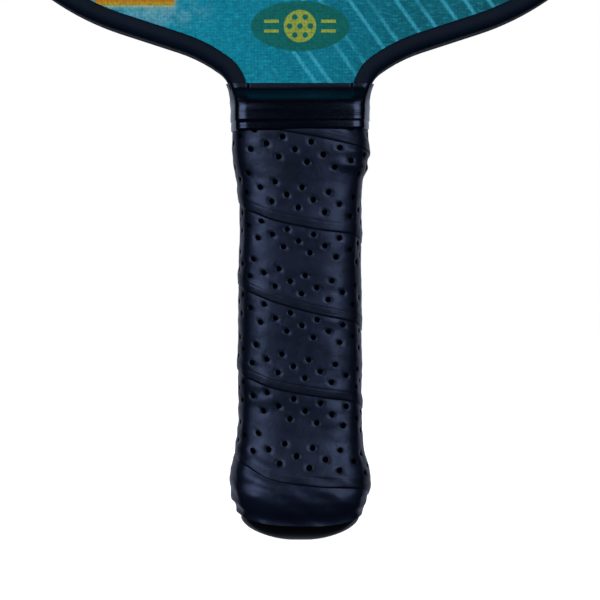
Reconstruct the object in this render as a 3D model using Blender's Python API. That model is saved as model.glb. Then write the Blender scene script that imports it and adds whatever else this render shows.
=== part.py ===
"""Pickleball paddle: a honeycomb board in an edge guard, with a wrapped handle.

Lengths are in metres. +Z runs along the paddle from the butt end to the head's tip, and -Y points
out of the front face. The origin is the centre of the butt cap's flat end.
"""
import math

import bmesh
import bpy
from mathutils import Matrix, Vector

# Driving sizes of the whole paddle
PADDLE_LENGTH = 0.397
HEAD_HALF_WIDTH = 0.1015
CORE_THICKNESS = 0.0127
GLUE_GAP = 0.0001
SKIN_THICKNESS = 0.0006
FILM_THICKNESS = 0.0002
GUARD_END_HEIGHT = 0.129

# Head outline, as headings clockwise from +X and the radii between them
CROWN_TURN = 12.0
TOP_CORNER_RADIUS = 0.064
LOWER_CORNER_RADIUS = 0.0625
LOWER_CORNER_END = 135.0
SHOULDER_RADIUS = 0.078
SHOULDER_END = 162.0
SHOULDER_STRAIGHT = 0.0175
FLARE_RADIUS = 0.0427
FLARE_END = 143.75
NECK_RADIUS = 0.0079
NECK_END = 108.0
NECK_STRAIGHT = 0.0026
OUTLINE_STEP = 5.0

# Edge guard section, as insets from the guard's outer edge and half depths
GUARD_HALF_DEPTH = 0.0086
GUARD_WEB = 0.0013
GUARD_LIP = 0.005
GUARD_LIP_THICKNESS = 0.0012
GUARD_ROUNDING = 0.0026
STRIP_THICKNESS = 0.0004
STRIP_HALF_DEPTH = 0.0060
BOARD_INSET = 0.0020
FILM_INSET = 0.0022
FIT_GAP = 0.0003

# Tang and handle
TANG_HALF_WIDTH = 0.0156
TANG_TOP_HALF_WIDTH = 0.0178
TANG_FLARE_BOTTOM = 0.102
TANG_FLARE_TOP = 0.109
HANDLE_BOTTOM = 0.0100
PALLET_TOP = 0.1285
PALLET_HALF_DEPTH = 0.0109
PALLET_CHAMFER = 0.0034
FILM_BOTTOM = 0.1298

# Honeycomb cells: through holes in the core
CELL_PITCH = 0.018
CELL_WALL = 0.0010

# Staples through the butt cap's skirt
STAPLE_HEIGHT = 0.0262
STAPLE_HALF_CROWN = 0.0045
STAPLE_WIRE_RADIUS = 0.0003
STAPLE_LEG_END = 0.0080
STAPLE_CROWN_DEPTH = 0.0124
STAPLE_HOLE_RADIUS = 0.0007

# Sleeve profiles: (height, half width, half depth), and a corner where it isn't SECTION_CORNER
CAP_SKIRT = [
    (0.0067, 0.0171, 0.0128),
    (0.0073, 0.0171, 0.0128),
    (0.0079, 0.0163, 0.0120),
    (0.0100, 0.0171, 0.0127),
    (0.0138, 0.0179, 0.0135),
    (0.0184, 0.0185, 0.0140),
    (0.0215, 0.0180, 0.0133),
    (0.0240, 0.0172, 0.0123),
    (0.0285, 0.0167, 0.0119),
]
CAP_DOME_DROP = 0.0072
CAP_FLOOR = 0.0022
WRAP_OUTSIDE = [
    (0.0078, 0.0184, 0.0141),
    (0.0092, 0.0190, 0.0146),
    (0.0138, 0.0201, 0.0156),
    (0.0184, 0.0207, 0.0161),
    (0.0230, 0.0199, 0.0153),
    (0.0285, 0.0187, 0.0142),
    (0.0330, 0.0180, 0.0133),
    (0.0600, 0.0179, 0.0130),
    (0.0980, 0.0179, 0.0130),
    (0.1040, 0.0183, 0.0132),
    (0.1090, 0.0200, 0.0134),
    (0.1195, 0.0200, 0.0133),
    (0.1203, 0.0197, 0.0129),
    (0.1235, 0.0196, 0.0128),
]
WRAP_INSIDE = [
    (0.0083, 0.0167, 0.0124),
    (0.0103, 0.0175, 0.0131),
    (0.0138, 0.0182, 0.0138),
    (0.0184, 0.0188, 0.0143),
    (0.0218, 0.0184, 0.0137),
    (0.0240, 0.0176, 0.0130),
    (0.0295, 0.0171, 0.0129),
    (0.0310, 0.0161, 0.0114),
    (0.1010, 0.0161, 0.0114),
    (0.1080, 0.0182, 0.0114),
    (0.1235, 0.0182, 0.0114),
]
TAPE_OUTSIDE = [
    (0.1204, 0.0203, 0.0135),
    (0.1250, 0.0203, 0.0135),
    (0.1272, 0.0204, 0.0124, 0.0042),
    (0.1292, 0.0206, 0.0104, 0.0034),
    (0.1305, 0.0209, 0.0096, 0.0029),
    (0.1326, 0.0217, 0.0093, 0.0029),
]
TAPE_INSIDE = [
    (0.1204, 0.0199, 0.0131),
    (0.1250, 0.0199, 0.0131),
    (0.1269, 0.0199, 0.0121, 0.0038),
    (0.1289, 0.0201, 0.0101, 0.0030),
    (0.1302, 0.0205, 0.0092, 0.0025),
    (0.1326, 0.0213, 0.0089, 0.0025),
]
SECTION_CORNER = 0.0046
CORNER_STEPS = 3


def clear_scene():
    """Remove every object that the opened file holds."""
    for item in list(bpy.data.objects):
        bpy.data.objects.remove(item, do_unlink=True)


def new_collection(name):
    """Make a collection and link it into the scene."""
    group = bpy.data.collections.new(name)
    bpy.context.scene.collection.children.link(group)
    return group


def principled(name, color, roughness, metallic=0.0):
    """Make a Principled material with a colour, a roughness and a metallic value."""
    material = bpy.data.materials.new(name)
    material.use_nodes = True
    shader = material.node_tree.nodes["Principled BSDF"]
    shader.inputs["Base Color"].default_value = (*color, 1.0)
    shader.inputs["Roughness"].default_value = roughness
    shader.inputs["Metallic"].default_value = metallic
    return material


def add_mesh(group, name, bm, material):
    """Turn a bmesh into a named object with one material."""
    mesh = bpy.data.meshes.new(name)
    bmesh.ops.recalc_face_normals(bm, faces=bm.faces)
    bm.to_mesh(mesh)
    bm.free()
    mesh.materials.append(material)
    item = bpy.data.objects.new(name, mesh)
    group.objects.link(item)
    return item


def arc_steps(point, radius, start, end):
    """Points along an arc: a positive radius turns clockwise and a negative one the other way."""
    count = max(2, math.ceil(abs(end - start) / OUTLINE_STEP))
    stations = []
    for step in range(1, count + 1):
        heading = math.radians(start + (end - start) * step / count)
        first = math.radians(start)
        across = radius * (math.sin(heading) - math.sin(first))
        rise = radius * (math.cos(heading) - math.cos(first))
        inward = Vector((-math.sin(heading), -math.cos(heading)))
        stations.append((point + Vector((across, rise)), inward))
    return stations


def line_step(point, length, heading):
    """The end of a straight run along a heading."""
    turn = math.radians(heading)
    inward = Vector((-math.sin(turn), -math.cos(turn)))
    return [(point + length * Vector((math.cos(turn), -math.sin(turn))), inward)]


def trace_half(side_length):
    """The guard's outer edge from the crown's middle to the right neck, with inward normals."""
    crown_sine = math.sin(math.radians(CROWN_TURN))
    crown_radius = (HEAD_HALF_WIDTH - TOP_CORNER_RADIUS * (1.0 - crown_sine)) / crown_sine
    path = [(Vector((0.0, PADDLE_LENGTH)), Vector((0.0, -1.0)))]
    path += arc_steps(path[-1][0], crown_radius, 0.0, CROWN_TURN)
    path += arc_steps(path[-1][0], TOP_CORNER_RADIUS, CROWN_TURN, 90.0)
    path += line_step(path[-1][0], side_length, 90.0)
    path += arc_steps(path[-1][0], LOWER_CORNER_RADIUS, 90.0, LOWER_CORNER_END)
    path += arc_steps(path[-1][0], SHOULDER_RADIUS, LOWER_CORNER_END, SHOULDER_END)
    path += line_step(path[-1][0], SHOULDER_STRAIGHT, SHOULDER_END)
    path += arc_steps(path[-1][0], -FLARE_RADIUS, SHOULDER_END, FLARE_END)
    path += arc_steps(path[-1][0], -NECK_RADIUS, FLARE_END, NECK_END)
    path += line_step(path[-1][0], NECK_STRAIGHT, NECK_END)
    return path


def head_half():
    """The right half of the outline, with straight sides that give the paddle its length."""
    neck_without_sides = trace_half(0.0)[-1][0].y
    return trace_half(neck_without_sides - GUARD_END_HEIGHT)


def offset_half(path, inset):
    """Points of the outline moved inwards by an inset."""
    return [point + inset * inward for point, inward in path]


def mirrored(points):
    """The same points on the left side, in the other order."""
    return [Vector((-point.x, point.y)) for point in reversed(points)]


def closed_outline(right_half):
    """A whole outline from its right half, whose first point is on the centre line."""
    return mirrored(right_half[1:]) + right_half


def board_outline(path, inset):
    """The board's outline: the head inside the guard, then the tang down the handle."""
    right = offset_half(path, inset)
    right.append(Vector((TANG_TOP_HALF_WIDTH, TANG_FLARE_TOP)))
    right.append(Vector((TANG_HALF_WIDTH, TANG_FLARE_BOTTOM)))
    right.append(Vector((TANG_HALF_WIDTH, HANDLE_BOTTOM)))
    return closed_outline(right)


def film_outline(path):
    """The printed film's outline: the head, cut straight above the handle pallets."""
    right = [point for point in offset_half(path, FILM_INSET) if point.y > FILM_BOTTOM]
    right.append(Vector((right[-1].x - FIT_GAP, FILM_BOTTOM)))
    return closed_outline(right)


def add_flat(group, name, outline, thickness, depth, material):
    """A flat sheet with the given outline in XZ, its middle at the given depth in Y."""
    curve = bpy.data.curves.new(name, "CURVE")
    curve.dimensions = "2D"
    curve.fill_mode = "BOTH"
    curve.extrude = thickness / 2.0
    spline = curve.splines.new("POLY")
    spline.points.add(len(outline) - 1)
    for knot, point in zip(spline.points, outline):
        knot.co = (point.x, point.y, 0.0, 1.0)
    spline.use_cyclic_u = True
    curve.materials.append(material)
    item = bpy.data.objects.new(name, curve)
    item.rotation_euler = (math.pi / 2.0, 0.0, 0.0)
    item.location = (0.0, depth, 0.0)
    group.objects.link(item)
    return item


def curve_to_mesh(group, item):
    """Replace a curve object by a welded mesh object of the same name, so that it can be cut."""
    bpy.context.view_layer.update()
    graph = bpy.context.evaluated_depsgraph_get()
    mesh = bpy.data.meshes.new_from_object(item.evaluated_get(graph))
    mesh.transform(item.matrix_world)
    bm = bmesh.new()
    bm.from_mesh(mesh)
    bmesh.ops.remove_doubles(bm, verts=bm.verts, dist=1e-6)
    name = item.name
    material = item.data.materials[0]
    bpy.data.objects.remove(item, do_unlink=True)
    bpy.data.meshes.remove(mesh)
    return add_mesh(group, name, bm, material)


def loft(group, name, rings, material, closed):
    """Join rings of equal point counts: closed makes a sleeve, open gets a cap at each end."""
    bm = bmesh.new()
    loops = [[bm.verts.new(point) for point in ring] for ring in rings]
    count = len(loops[0])
    pairs = list(zip(loops, loops[1:]))
    if closed:
        pairs.append((loops[-1], loops[0]))
    for lower, upper in pairs:
        for index in range(count):
            following = (index + 1) % count
            bm.faces.new((lower[index], lower[following], upper[following], upper[index]))
    if not closed:
        bm.faces.new(loops[0])
        bm.faces.new(loops[-1])
    return add_mesh(group, name, bm, material)


def section_ring(height, half_width, half_depth, corner=SECTION_CORNER):
    """A rounded rectangle at a height, anticlockwise seen from above."""
    ring = []
    for quarter in range(4):
        side_x = (1, -1, -1, 1)[quarter]
        side_y = (1, 1, -1, -1)[quarter]
        for step in range(CORNER_STEPS + 1):
            angle = math.radians(90.0 * (quarter + step / CORNER_STEPS))
            across = side_x * (half_width - corner) + corner * math.cos(angle)
            depth = side_y * (half_depth - corner) + corner * math.sin(angle)
            ring.append(Vector((across, depth, height)))
    return ring


def profile_rings(profile):
    """One section ring for each line of a sleeve profile."""
    return [section_ring(*station) for station in profile]


def guard_section():
    """The guard's U section as (inset, depth) pairs, rounded outside."""
    inner = GUARD_HALF_DEPTH - GUARD_LIP_THICKNESS
    upper = [(GUARD_WEB, 0.0), (GUARD_WEB, inner), (GUARD_LIP, inner)]
    upper.append((GUARD_LIP, GUARD_HALF_DEPTH - GUARD_LIP_THICKNESS / 2.0))
    upper.append((GUARD_LIP - GUARD_LIP_THICKNESS / 2.0, GUARD_HALF_DEPTH))
    for step in range(4):
        angle = math.radians(30.0 * step)
        inset = GUARD_ROUNDING * (1.0 - math.sin(angle))
        upper.append((inset, GUARD_HALF_DEPTH - GUARD_ROUNDING * (1.0 - math.cos(angle))))
    upper.append((0.0, 0.0))
    lower = [(inset, -depth) for inset, depth in reversed(upper[1:-1])]
    return upper + lower


def add_edge_guard(group, path, material):
    """Sweep the guard's section round the outline, from the left neck to the right neck."""
    left = [(Vector((-point.x, point.y)), Vector((-n.x, n.y))) for point, n in reversed(path[1:])]
    rings = []
    for point, inward in left + path:
        ring = []
        for inset, depth in guard_section():
            place = point + inset * inward
            ring.append(Vector((place.x, depth, place.y)))
        rings.append(ring)
    return loft(group, "edge_guard", rings, material, closed=False)


def add_guard_strip(group, path, material):
    """The adhesive strip that lies between the board's edge and the guard's web."""
    middle = (GUARD_WEB + BOARD_INSET) / 2.0
    outer = offset_half(path, middle - STRIP_THICKNESS / 2.0)
    inner = offset_half(path, middle + STRIP_THICKNESS / 2.0)
    outline = mirrored(outer[1:]) + outer + inner[::-1] + mirrored(inner[1:])[::-1]
    thickness = 2.0 * STRIP_HALF_DEPTH
    return add_flat(group, "guard_adhesive_strip", outline, thickness, 0.0, material)


def inside_outline(point, outline):
    """True where a point lies inside a closed outline."""
    crossings = 0
    for first, second in zip(outline, outline[1:] + outline[:1]):
        if (first.y > point.y) != (second.y > point.y):
            share = (point.y - first.y) / (second.y - first.y)
            if point.x < first.x + share * (second.x - first.x):
                crossings += 1
    return crossings % 2 == 1


def cell_centres(outline):
    """Centres of the honeycomb cells that lie wholly inside the board."""
    reach = CELL_PITCH / math.sqrt(3.0)
    low_allowed = HANDLE_BOTTOM + reach
    rows = math.ceil(PADDLE_LENGTH / (CELL_PITCH * math.sqrt(3.0) / 2.0))
    columns = math.ceil(HEAD_HALF_WIDTH / CELL_PITCH)
    centres = []
    for row in range(rows + 1):
        height = low_allowed + row * CELL_PITCH * math.sqrt(3.0) / 2.0
        for column in range(-columns, columns + 1):
            across = (column + 0.5 * (row % 2)) * CELL_PITCH
            centre = Vector((across, height))
            clear = all((corner - centre).length > reach for corner in outline)
            feelers = [Vector((math.cos(turn), math.sin(turn))) * reach
                       for turn in (math.radians(15.0 * step) for step in range(24))]
            if clear and all(inside_outline(centre + feeler, outline) for feeler in feelers):
                centres.append(centre)
    return centres


def add_cell_cutter(group, outline):
    """Hexagonal prisms, one for each cell, as one cutter."""
    radius = (CELL_PITCH - CELL_WALL) / math.sqrt(3.0)
    bm = bmesh.new()
    for centre in cell_centres(outline):
        place = Matrix.Translation((centre.x, 0.0, centre.y)) @ Matrix.Rotation(math.pi / 2, 4, "X")
        bmesh.ops.create_cone(bm, cap_ends=True, segments=6, radius1=radius, radius2=radius,
                              depth=2.0 * CORE_THICKNESS, matrix=place)
    return add_mesh(group, "cell_cutter", bm, bpy.data.materials.new("cutter"))


def add_staple_cutter(group):
    """Round holes for the legs of both staples, as one cutter."""
    bm = bmesh.new()
    inner = STAPLE_LEG_END - FIT_GAP
    outer = STAPLE_CROWN_DEPTH + 0.002
    for side in (-1.0, 1.0):
        for leg in (-STAPLE_HALF_CROWN, STAPLE_HALF_CROWN):
            middle = (leg, side * (inner + outer) / 2.0, STAPLE_HEIGHT)
            place = Matrix.Translation(middle) @ Matrix.Rotation(math.pi / 2.0, 4, "X")
            bmesh.ops.create_cone(bm, cap_ends=True, segments=8, radius1=STAPLE_HOLE_RADIUS,
                                  radius2=STAPLE_HOLE_RADIUS, depth=outer - inner, matrix=place)
    return add_mesh(group, "staple_cutter", bm, bpy.data.materials["cutter"])


def cut(item, cutter):
    """Take a cutter out of an object with an exact Boolean."""
    boolean = item.modifiers.new("cut", "BOOLEAN")
    boolean.operation = "DIFFERENCE"
    boolean.solver = "EXACT"
    boolean.object = cutter
    cutter.hide_render = True
    cutter.display_type = "WIRE"


def add_pallet(group, name, side, skin_outside, material):
    """Half of the handle's thickness: a bevelled bar glued on one side of the tang."""
    base = skin_outside + GLUE_GAP
    deep = PALLET_HALF_DEPTH
    full = PALLET_CHAMFER
    stations = [
        (HANDLE_BOTTOM, TANG_HALF_WIDTH, deep, full),
        (TANG_FLARE_BOTTOM, TANG_HALF_WIDTH, deep, full),
        (TANG_FLARE_TOP, TANG_TOP_HALF_WIDTH, deep, full),
        (PALLET_TOP - 0.0045, TANG_TOP_HALF_WIDTH, deep, full),
        (PALLET_TOP - 0.0025, TANG_TOP_HALF_WIDTH, deep - 0.0008, full - 0.0006),
        (PALLET_TOP - 0.0010, TANG_TOP_HALF_WIDTH - 0.0002, base + 0.0018, 0.0014),
        (PALLET_TOP, TANG_TOP_HALF_WIDTH - 0.0004, base + 0.0006, 0.0004),
    ]
    rings = []
    for height, half_width, depth, chamfer in stations:
        corners = [
            (-half_width, base),
            (half_width, base),
            (half_width, depth - chamfer),
            (half_width - 0.3 * chamfer, depth - 0.3 * chamfer),
            (half_width - chamfer, depth),
            (chamfer - half_width, depth),
            (0.3 * chamfer - half_width, depth - 0.3 * chamfer),
            (-half_width, depth - chamfer),
        ]
        rings.append([Vector((across, side * out, height)) for across, out in corners])
    return loft(group, name, rings, material, closed=False)


def add_butt_cap(group, material):
    """A moulded cap over the handle's end: a flared skirt, a rim and a domed, flat-ended base."""
    inner_width = TANG_HALF_WIDTH + FIT_GAP
    inner_depth = PALLET_HALF_DEPTH + FIT_GAP
    top = CAP_SKIRT[-1][0]
    rings = [section_ring(CAP_FLOOR, inner_width - 0.001, inner_depth - 0.001, 0.0035)]
    rings.append(section_ring(CAP_FLOOR + 0.001, inner_width, inner_depth, 0.0035))
    rings.append(section_ring(top, inner_width, inner_depth, 0.0035))
    rings += profile_rings(reversed(CAP_SKIRT))
    rim_height, rim_width, rim_depth = CAP_SKIRT[0]
    last_angle = math.asin(rim_height / CAP_DOME_DROP)
    for step in range(1, 8):
        share = step / 7.0
        angle = last_angle * share
        depth = rim_depth * math.cos(angle)
        corner = SECTION_CORNER + share * (0.95 * depth - SECTION_CORNER)
        height = rim_height - CAP_DOME_DROP * math.sin(angle)
        rings.append(section_ring(height, rim_width * math.cos(angle), depth, min(corner, depth)))
    return loft(group, "butt_cap", rings, material, closed=False)


def add_staple(group, name, side, material):
    """A wire staple, its crown against the cap's skirt and its legs in a pallet."""
    curve = bpy.data.curves.new(name, "CURVE")
    curve.dimensions = "3D"
    curve.bevel_depth = STAPLE_WIRE_RADIUS
    curve.bevel_resolution = 2
    curve.use_fill_caps = True
    spline = curve.splines.new("POLY")
    spline.points.add(3)
    route = [
        (-STAPLE_HALF_CROWN, side * STAPLE_LEG_END, STAPLE_HEIGHT),
        (-STAPLE_HALF_CROWN, side * STAPLE_CROWN_DEPTH, STAPLE_HEIGHT),
        (STAPLE_HALF_CROWN, side * STAPLE_CROWN_DEPTH, STAPLE_HEIGHT),
        (STAPLE_HALF_CROWN, side * STAPLE_LEG_END, STAPLE_HEIGHT),
    ]
    for knot, point in zip(spline.points, route):
        knot.co = (*point, 1.0)
    curve.materials.append(material)
    item = bpy.data.objects.new(name, curve)
    group.objects.link(item)
    return item


def add_board(parts, cutters, path):
    """The core with its cells, and the skin and printed film on each side."""
    outline = board_outline(path, BOARD_INSET)
    core_plastic = principled("core_plastic", (0.78, 0.79, 0.76), 0.55)
    core = add_flat(parts, "honeycomb_core", outline, CORE_THICKNESS, 0.0, core_plastic)
    core = curve_to_mesh(parts, core)
    cut(core, add_cell_cutter(cutters, outline))
    skin_paint = principled("skin_laminate", (0.05, 0.055, 0.06), 0.5)
    film_print = principled("printed_film", (0.0, 0.22, 0.31), 0.35)
    skin_inside = CORE_THICKNESS / 2.0 + GLUE_GAP
    skin_outside = skin_inside + SKIN_THICKNESS
    skin_middle = (skin_inside + skin_outside) / 2.0
    film_middle = skin_outside + GLUE_GAP / 2.0 + FILM_THICKNESS / 2.0
    for side, place in ((-1.0, "front"), (1.0, "rear")):
        add_flat(parts, place + "_skin", outline, SKIN_THICKNESS, side * skin_middle, skin_paint)
        add_flat(parts, place + "_print_film", film_outline(path), FILM_THICKNESS,
                 side * film_middle, film_print)
    return skin_outside


def add_handle(parts, cutters, skin_outside):
    """Pallets, butt cap, staples, grip wrap and finishing tape."""
    pallet_foam = principled("pallet_foam", (0.16, 0.15, 0.14), 0.8)
    cap_plastic = principled("cap_plastic", (0.006, 0.007, 0.010), 0.35)
    staple_steel = principled("staple_steel", (0.55, 0.55, 0.56), 0.35, 1.0)
    grip_cushion = principled("grip_cushion", (0.010, 0.013, 0.026), 0.45)
    tape_vinyl = principled("tape_vinyl", (0.003, 0.005, 0.012), 0.18)
    holes = add_staple_cutter(cutters)
    for side, place in ((-1.0, "front"), (1.0, "rear")):
        pallet = add_pallet(parts, "handle_pallet_" + place, side, skin_outside, pallet_foam)
        cut(pallet, holes)
        add_staple(parts, "cap_staple_" + place, side, staple_steel)
    cap = add_butt_cap(parts, cap_plastic)
    cut(cap, holes)
    wrap_rings = profile_rings(WRAP_OUTSIDE) + profile_rings(reversed(WRAP_INSIDE))
    loft(parts, "grip_wrap", wrap_rings, grip_cushion, closed=True)
    tape_rings = profile_rings(TAPE_OUTSIDE) + profile_rings(reversed(TAPE_INSIDE))
    loft(parts, "finishing_tape", tape_rings, tape_vinyl, closed=True)


def build_paddle():
    """Build every piece of the paddle."""
    clear_scene()
    parts = new_collection("pickleball_paddle")
    cutters = new_collection("cutters")
    path = head_half()
    skin_outside = add_board(parts, cutters, path)
    guard_plastic = principled("guard_plastic", (0.006, 0.009, 0.017), 0.42)
    strip_foam = principled("strip_foam", (0.75, 0.75, 0.72), 0.7)
    add_edge_guard(parts, path, guard_plastic)
    add_guard_strip(parts, path, strip_foam)
    add_handle(parts, cutters, skin_outside)


build_paddle()
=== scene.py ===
"""Looks of a pickleball paddle: printed faces, edge guard, wound cushion grip, closing tape and butt cap."""

import logging
import math
from dataclasses import dataclass
from enum import Enum
from typing import Callable, Optional

import bmesh
import bpy
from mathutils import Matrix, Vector, noise


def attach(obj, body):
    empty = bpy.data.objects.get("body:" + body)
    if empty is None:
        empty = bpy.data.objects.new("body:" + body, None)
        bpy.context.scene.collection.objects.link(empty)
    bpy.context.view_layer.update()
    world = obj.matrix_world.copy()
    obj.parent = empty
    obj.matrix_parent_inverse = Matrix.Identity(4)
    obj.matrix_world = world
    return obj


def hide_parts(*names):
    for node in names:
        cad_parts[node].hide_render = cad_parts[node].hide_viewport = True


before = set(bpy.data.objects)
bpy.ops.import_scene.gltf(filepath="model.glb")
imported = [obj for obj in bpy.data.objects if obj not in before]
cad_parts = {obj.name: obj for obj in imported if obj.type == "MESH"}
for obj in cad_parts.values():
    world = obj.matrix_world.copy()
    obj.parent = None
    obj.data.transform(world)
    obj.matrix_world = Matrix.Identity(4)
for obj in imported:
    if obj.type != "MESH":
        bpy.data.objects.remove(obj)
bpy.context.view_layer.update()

LOG = logging.getLogger("paddle")
MM = 0.001
Station = tuple[Vector, Vector]
Shape = tuple[float, float]


class Side(Enum):
    """Which way a closing loop of a sleeve lies."""

    TOP = 1
    BOTTOM = -1


# ---------------------------------------------------------------- small tools


def linear(code: str) -> tuple[float, float, float, float]:
    """Turns an sRGB hex colour into linear RGBA."""
    parts = [int(code[i : i + 2], 16) / 255.0 for i in (0, 2, 4)]
    red, green, blue = [p / 12.92 if p <= 0.04045 else ((p + 0.055) / 1.055) ** 2.4 for p in parts]
    return (red, green, blue, 1.0)


def smooth(low: float, high: float, value: float) -> float:
    """Eases from 0, where the value is low, to 1, where it is high."""
    share = min(1.0, max(0.0, (value - low) / (high - low)))
    return share * share * (3.0 - 2.0 * share)


def along(table: list[tuple[float, ...]], value: float) -> list[float]:
    """Reads a table of rows by its first column, easing between rows.

    Args:
        table: Rows in rising order of their first number.
        value: Where to read.

    Returns:
        The other numbers of the row at that value.
    """
    if value <= table[0][0]:
        return list(table[0][1:])
    for before, after in zip(table, table[1:]):
        if value <= after[0]:
            share = smooth(before[0], after[0], value) * 0.4
            share += 0.6 * (value - before[0]) / (after[0] - before[0])
            return [a + (b - a) * share for a, b in zip(before[1:], after[1:])]
    return list(table[-1][1:])


def laid_grid(columns: int, rows: int, place: Callable[[int, int], Vector]) -> bmesh.types.BMesh:
    """Starts a mesh as a flat grid and moves each crossing to its place.

    Args:
        columns: Crossings along a row.
        rows: Number of rows.
        place: Gives the place of a crossing from its column and row.

    Returns:
        The mesh.
    """
    mesh = bmesh.new()
    bmesh.ops.create_grid(mesh, x_segments=columns - 1, y_segments=rows - 1, size=1.0)
    mesh.verts.ensure_lookup_table()
    for number, vert in enumerate(mesh.verts):
        row, column = divmod(number, columns)
        vert.co = place(column, row)
    return mesh


def finish_piece(mesh: bmesh.types.BMesh, name: str, material: bpy.types.Material) -> bpy.types.Object:
    """Turns a mesh into a smooth-shaded object at the origin.

    Args:
        mesh: The finished mesh, which is freed.
        name: Name of the object.
        material: Its material.

    Returns:
        The object, in the scene.
    """
    data = bpy.data.meshes.new(name)
    mesh.to_mesh(data)
    mesh.free()
    data.shade_smooth()
    data.materials.append(material)
    piece = bpy.data.objects.new(name, data)
    bpy.context.scene.collection.objects.link(piece)
    return piece


def add(
    tree: bpy.types.NodeTree,
    kind: str,
    links: Optional[dict] = None,
    values: Optional[dict] = None,
    stops: Optional[list] = None,
    **settings: object,
) -> bpy.types.Node:
    """Adds one node with its settings and links.

    Args:
        tree: Node tree to add to.
        kind: The node's type, without its ShaderNode start.
        links: Output sockets by the input they feed.
        values: Constants by input.
        stops: Position and hex colour of each stop of a colour ramp.
        settings: Properties of the node.

    Returns:
        The node.
    """
    node = tree.nodes.new("ShaderNode" + kind)
    for key, value in settings.items():
        setattr(node, key, value)
    for key, value in (values or {}).items():
        node.inputs[key].default_value = value
    for key, socket in (links or {}).items():
        tree.links.new(socket, node.inputs[key])
    if stops:
        ramp = node.color_ramp
        while len(ramp.elements) < len(stops):
            ramp.elements.new(1.0)
        for element, (position, code) in zip(ramp.elements, stops):
            element.position = position
            element.color = linear(code)
    return node


def new_material(name: str) -> tuple[bpy.types.Material, bpy.types.NodeTree]:
    """Makes an empty node material and returns it with its node tree."""
    material = bpy.data.materials.new(name)
    material.use_nodes = True
    material.node_tree.nodes.clear()
    return material, material.node_tree


# ---------------------------------------------------------------- finishes


@dataclass(frozen=True)
class Value:
    """A number or a colour in a node tree that takes part in plain arithmetic."""

    tree: bpy.types.NodeTree
    socket: bpy.types.NodeSocket

    def math(self, operation: str, other: "Value | float" = 0.0) -> "Value":
        """Result of a Math operation on this value and another."""
        if isinstance(other, Value):
            node = add(self.tree, "Math", {0: self.socket, 1: other.socket}, operation=operation)
        else:
            node = add(self.tree, "Math", {0: self.socket}, {1: other}, operation=operation)
        return Value(self.tree, node.outputs[0])

    def __add__(self, other: "Value | float") -> "Value":
        """Sum."""
        return self.math("ADD", other)

    def __sub__(self, other: "Value | float") -> "Value":
        """Difference."""
        return self.math("SUBTRACT", other)

    def __rsub__(self, other: float) -> "Value":
        """What a plain number has over this value."""
        node = add(self.tree, "Math", {1: self.socket}, {0: other}, operation="SUBTRACT")
        return Value(self.tree, node.outputs[0])

    def __mul__(self, other: "Value | float") -> "Value":
        """Product."""
        return self.math("MULTIPLY", other)

    def __truediv__(self, other: "Value | float") -> "Value":
        """Quotient."""
        return self.math("DIVIDE", other)

    def step(self, low: float, high: float) -> "Value":
        """Eases from 0 where this value is low to 1 where it is high."""
        ends = {"From Min": low, "From Max": high}
        eased = add(self.tree, "MapRange", {"Value": self.socket}, ends, interpolation_type="SMOOTHSTEP")
        return Value(self.tree, eased.outputs["Result"])

    def inked(self, share: "Value", code: str) -> "Value":
        """This colour with a share of ink laid over it."""
        mix = add(
            self.tree, "Mix", {0: share.socket, 6: self.socket}, {7: linear(code)}, data_type="RGBA"
        )
        return Value(self.tree, mix.outputs[2])


@dataclass(frozen=True)
class GrainedPlastic:
    """Plastic or foam shaped from one melt: its colour only drifts, and a pitted grain dulls its shine."""

    name: str
    colour: str
    drift: str
    roughness: float = 0.45
    grain_mm: float = 0.6
    relief: float = 0.15
    ior: float = 1.49
    gloss: float = 0.5

    def build(self) -> bpy.types.Material:
        """Builds the material."""
        material, tree = new_material(self.name)
        place = add(tree, "TexCoord").outputs["Object"]
        # Slow drift of colour, so that a large face is not one flat tone
        cloud = add(tree, "TexNoise", {"Vector": place}, {"Scale": 1.0 / (14.0 * MM), "Detail": 3.0})
        stops = [(0.3, self.colour), (0.75, self.drift)]
        tint = add(tree, "ValToRGB", {"Fac": cloud.outputs["Fac"]}, stops=stops)
        # Grain of the tool, which spreads the highlight unevenly
        fine = {"Scale": 1.0 / (self.grain_mm * MM), "Detail": 4.0, "Roughness": 0.6}
        grain = add(tree, "TexNoise", {"Vector": place}, fine).outputs["Fac"]
        span = {"To Min": self.roughness - 0.06, "To Max": self.roughness + 0.08}
        rough = add(tree, "MapRange", {"Value": grain}, span)
        bump = add(tree, "Bump", {"Height": grain}, {"Strength": self.relief, "Distance": 0.1 * MM})
        links = {
            "Base Color": tint.outputs["Color"],
            "Roughness": rough.outputs["Result"],
            "Normal": bump.outputs["Normal"],
        }
        shader = add(tree, "BsdfPrincipled", links, {"IOR": self.ior, "Specular IOR Level": self.gloss})
        add(tree, "OutputMaterial", {"Surface": shader.outputs["BSDF"]})
        return material


@dataclass(frozen=True)
class DrawnSteelWire:
    """Steel wire pulled through a die: bright metal whose fine scratches break up the highlight."""

    name: str = "drawn_steel_wire"
    colour: str = "b9bcc0"

    def build(self) -> bpy.types.Material:
        """Builds the material."""
        material, tree = new_material(self.name)
        place = add(tree, "TexCoord").outputs["Object"]
        lines = add(tree, "TexNoise", {"Vector": place}, {"Scale": 1.0 / (0.3 * MM), "Detail": 2.0})
        rough = add(tree, "MapRange", {"Value": lines.outputs["Fac"]}, {"To Min": 0.22, "To Max": 0.4})
        metal = {"Base Color": linear(self.colour), "Metallic": 1.0}
        shader = add(tree, "BsdfPrincipled", {"Roughness": rough.outputs["Result"]}, metal)
        add(tree, "OutputMaterial", {"Surface": shader.outputs["BSDF"]})
        return material


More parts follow.
